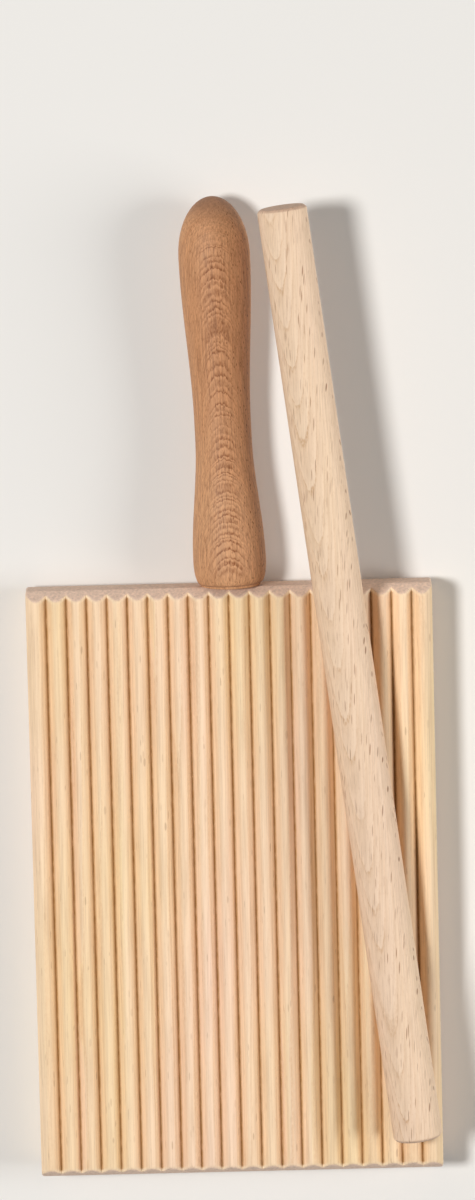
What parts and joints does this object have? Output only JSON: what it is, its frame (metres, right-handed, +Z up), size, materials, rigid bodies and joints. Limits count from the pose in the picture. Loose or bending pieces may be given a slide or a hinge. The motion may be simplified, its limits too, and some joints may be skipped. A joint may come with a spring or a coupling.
{
  "type": "gnocchi board",
  "caption": "Ridged wooden board with a turned handle on one end and a loose rolling rod lying across the ridges, for shaping small pasta.",
  "frame": {"origin": "on the resting plane, under the middle of the whole length (board and handle) and the middle of the board's width", "axes": "+Y along the ridges, from the board's free end towards the handle; +Z up, out of the ridged face; +X across the ridges, towards the side on which the rod's lower end lies"},
  "size_m": [0.082, 0.2, 0.0231],
  "materials": {
    "pale_beech_board": "planed and sanded, bare",
    "steamed_beech_handle": "turned and sanded, bare",
    "pale_beech_rod": "turned and sanded, bare"
  },
  "bodies": {
    "board": {"ridged_board": "pale_beech_board", "handle": "steamed_beech_handle"},
    "rod": {"rolling_rod": "pale_beech_rod"}
  },
  "joints": [
    {"name": "rod_lift", "type": "slide", "parent": "board", "child": "rod", "axis": [0, 0, 1], "range_m": [0, 0.08]}
  ]
}
